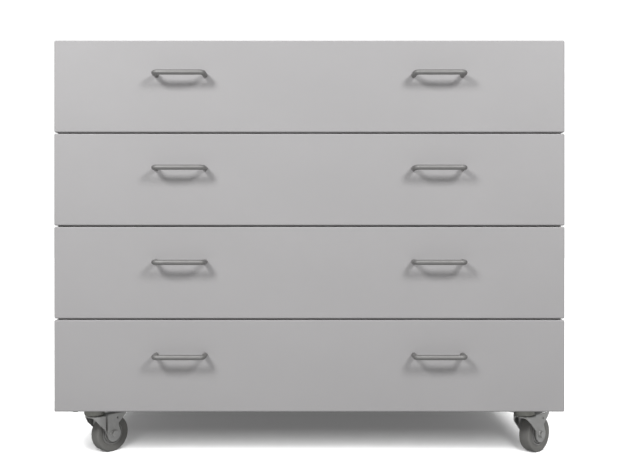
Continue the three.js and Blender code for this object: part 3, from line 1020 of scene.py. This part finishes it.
def make_hub():
    """Moulded hub under the tyre, with a dished thread guard and a boss for the bush."""
    right = [
        (4.6 * MM, 12.9 * MM),
        (8.6 * MM, 12.9 * MM),
        (9.4 * MM, 12.2 * MM),
        (10.2 * MM, 11.2 * MM),
        (13 * MM, 11.0 * MM),
        (16.6 * MM, 11.8 * MM),
        (17.9 * MM, 11.9 * MM),
        (18.7 * MM, 11.2 * MM),
        (19.3 * MM, 8.6 * MM),
        (20.2 * MM, 8.6 * MM),
        (20.9 * MM, 10.6 * MM),
        (22.6 * MM, 11.0 * MM),
        (23.4 * MM, 10.2 * MM),
    ]
    left = [(r, -h) for r, h in reversed(right)]
    return about_axle(lathe("hub", right + left, 96))


def make_axle():
    """Hexagon bolt through both legs, a washer under its head and a lock nut behind."""
    outside = LEG_HALF
    radius = 4 * MM
    head = hexagon_head("head", 7.4 * MM, 5.0 * MM, 8.4 * MM, 1.2 * MM)
    nut = hexagon_head("nut", 7.4 * MM, 5.6 * MM, 8.4 * MM, 1.2 * MM)
    collar_profile = [
        (0, 5.5 * MM),
        (5.6 * MM, 5.5 * MM),
        *arc((4.6 * MM, 6.0 * MM), 1.0 * MM, 0, 90, 4),
        (3.4 * MM, 7.0 * MM),
        (3.4 * MM, 6.3 * MM),
        (0, 6.3 * MM),
    ]
    collar = lathe("collar", collar_profile, 40)
    shank = lathe("shank", [(0, -outside), (radius, -outside), (radius, outside), (0, outside)], 40)
    flip = Matrix.Rotation(math.radians(180), 4, "X")
    parts = [
        (head, AXLE_PLACE @ at(0, 0, outside)),
        (nut, AXLE_PLACE @ flip @ at(0, 0, outside)),
        (collar, AXLE_PLACE @ flip @ at(0, 0, outside)),
        (shank, AXLE_PLACE),
    ]
    return joined("axle", parts)


def joint(name):
    return next(j for j in frame["joints"] if j["name"] == name)



def make_casters():
    plate, race, kingpin = make_plate(), make_race(), make_kingpin()
    fork, tyre, hub, axle = make_fork(), make_tyre(), make_hub(), make_axle()
    for corner in CORNERS:
        x, y, _ = joint(f"swivel_{corner}_turn")["pos_m"]
        across = joint(f"wheel_{corner}_roll")["axis"]
        turn = Matrix.Rotation(math.atan2(-across[0], across[1]), 4, "Z")
        still = at(x, y, 0)
        swivel, wheel = f"swivel_{corner}", f"wheel_{corner}"
        plate_node, fork_node = f"caster_plate_{corner}", f"caster_fork_{corner}"
        axle_node, wheel_node = f"caster_axle_{corner}", f"caster_wheel_{corner}"
        bolt_name, nut_name = f"plate_bolt_{corner}", f"plate_nut_{corner}"
        tyre_name, hub_name = f"caster_tyre_{corner}", f"caster_hub_{corner}"
        add_piece(f"{plate_node}_sheet", plate, CASTER, "cabinet", plate_node, still)
        add_piece(f"caster_race_{corner}", race, RACE, "cabinet", matrix=still)
        add_piece(f"caster_kingpin_{corner}", kingpin, BOLT, "cabinet", matrix=still)
        for i, (u, v) in enumerate(BOLT_PLACES):
            under = still @ facing(u, v, PLATE_TOP - PLATE_SHEET, (0, 0, -1))
            add_piece(f"{bolt_name}_{i + 1}", PLATE_BOLT, BOLT, "cabinet", matrix=under)
            above = still @ at(u, v, base_lo.z + SHEET)
            add_piece(f"{nut_name}_{i + 1}", PLATE_BOLT, BOLT, "cabinet", matrix=above)
        swung = (
            (f"{fork_node}_press", fork, CASTER, swivel, "caster_zinc", fork_node),
            (f"{axle_node}_bolt", axle, BOLT, swivel, "bolt_steel", axle_node),
            (tyre_name, tyre, TREAD, wheel, "wheel_rubber", wheel_node),
            (hub_name, hub, HUB, wheel, "wheel_rubber", None),
        )
        for name, mesh, material, body, slot, node in swung:
            add_piece(name, turned(mesh, turn), material, body, node, still)


# ---------------------------------------------------------------- studio


def make_floor():
    """A broad pale floor."""
    reach = 12
    bm = bmesh.new()
    corners = ((-reach, -reach, 0), (reach, -reach, 0), (reach, reach, 0), (-reach, reach, 0))
    bm.faces.new([bm.verts.new(corner) for corner in corners])
    floor = new_object("floor", finish_bmesh(bm, "floor"))
    material, nodes, links, shader, _ = start_material("pale_floor")
    # The floor shows whiter than the light it throws back on the cabinet
    seen = nodes.new("ShaderNodeLightPath").outputs["Is Camera Ray"]
    paleness = nodes.new("ShaderNodeMapRange")
    paleness.inputs["To Min"].default_value = 0.16
    paleness.inputs["To Max"].default_value = 0.86
    links.new(seen, paleness.inputs["Value"])
    links.new(paleness.outputs["Result"], shader.inputs["Base Color"])
    shader.inputs["Roughness"].default_value = 0.9
    shader.inputs["Specular IOR Level"].default_value = 0
    shader.inputs["Emission Color"].default_value = (1, 1, 1, 1)
    shader.inputs["Emission Strength"].default_value = 0.09
    floor.data.materials.append(material)
    return floor


def soft_light(name, x, ahead, z, size, power, only=None, but=None):
    """A soft light, a distance ahead of the drawer fronts, that looks at the cabinet. Its size
    is its width and height. With only, it lights just that object, and the cabinet still casts
    its shadow there. With but, it lights everything else."""
    place = Vector((x, FACE_Y - ahead, z))
    away = place - Vector((0, FACE_Y, 0.42))
    data = bpy.data.lights.new(name, "AREA")
    data.shape = "RECTANGLE"
    data.size, data.size_y = size
    data.energy = power
    turn = away.to_track_quat("Z", "Y").to_matrix().to_4x4()
    add_light(name, data, Matrix.Translation(place) @ turn, only, but)


def overhead_sun(name, strength, only=None):
    data = bpy.data.lights.new(name, "SUN")
    data.energy = strength
    data.angle = math.radians(50)
    add_light(name, data, Matrix.Identity(4), only)


def add_light(name, data, matrix, only=None, but=None):
    light = bpy.data.objects.new(name, data)
    light.matrix_world = matrix
    bpy.context.scene.collection.objects.link(light)
    if only or but:
        receivers = bpy.data.collections.new(f"{name}_receivers")
        receivers.objects.link(only or but)
        light.light_linking.receiver_collection = receivers
        if but:
            receivers.collection_objects[0].light_linking.link_state = "EXCLUDE"


def make_world(brightness):
    world = bpy.data.worlds.new("studio")
    bpy.context.scene.world = world
    world.use_nodes = True
    nodes, links = world.node_tree.nodes, world.node_tree.links
    background = nodes["Background"]
    background.inputs["Color"].default_value = (1, 1, 1, 1)
    background.inputs["Strength"].default_value = brightness
    # The backdrop shows white, whatever light it gives
    bright = nodes.new("ShaderNodeBackground")
    bright.inputs["Color"].default_value = (1, 1, 1, 1)
    bright.inputs["Strength"].default_value = 1.05
    chooser = nodes.new("ShaderNodeMixShader")
    path = nodes.new("ShaderNodeLightPath")
    links.new(path.outputs["Is Camera Ray"], chooser.inputs["Fac"])
    links.new(background.outputs["Background"], chooser.inputs[1])
    links.new(bright.outputs["Background"], chooser.inputs[2])
    links.new(chooser.outputs["Shader"], nodes["World Output"].inputs["Surface"])


def make_lights(floor):
    """Two keys high in front, two that light only the floor, and two behind for the back."""
    key_power = {"left": 26.5, "right": 22.5}  # a little stronger from the left
    for word, side in SIDES:
        soft_light(f"key_{word}", side * 1.1, 1.46, 1.6, (0.55, 0.55), key_power[word])
        soft_light(f"floor_{word}", side * 0.42, 1.4, 1.04, (0.3, 0.8), 28, only=floor)
        soft_light(f"back_{word}", side * 1.7, -2.3, 1.6, (0.9, 0.9), 30, but=floor)
    overhead_sun("overhead", 0.4)
    overhead_sun("floor_overhead", 2.8, only=floor)
    make_world(0.35)


def make_camera():
    """Level, straight on and close to the drawer fronts."""
    off_centre = 1.2 * MM
    ahead = 1.540
    height = 0.4513
    data = bpy.data.cameras.new("camera")
    data.sensor_width = 36
    data.lens = 45.68
    camera = bpy.data.objects.new("camera", data)
    camera.location = (off_centre, FACE_Y - ahead, height)
    camera.rotation_euler = (math.radians(90), 0, 0)
    bpy.context.scene.collection.objects.link(camera)
    bpy.context.scene.camera = camera


make_camera()
make_lights(make_floor())
bpy.context.scene.view_settings.view_transform = "Standard"
make_shell()
make_drawers()
make_slides()
make_casters()
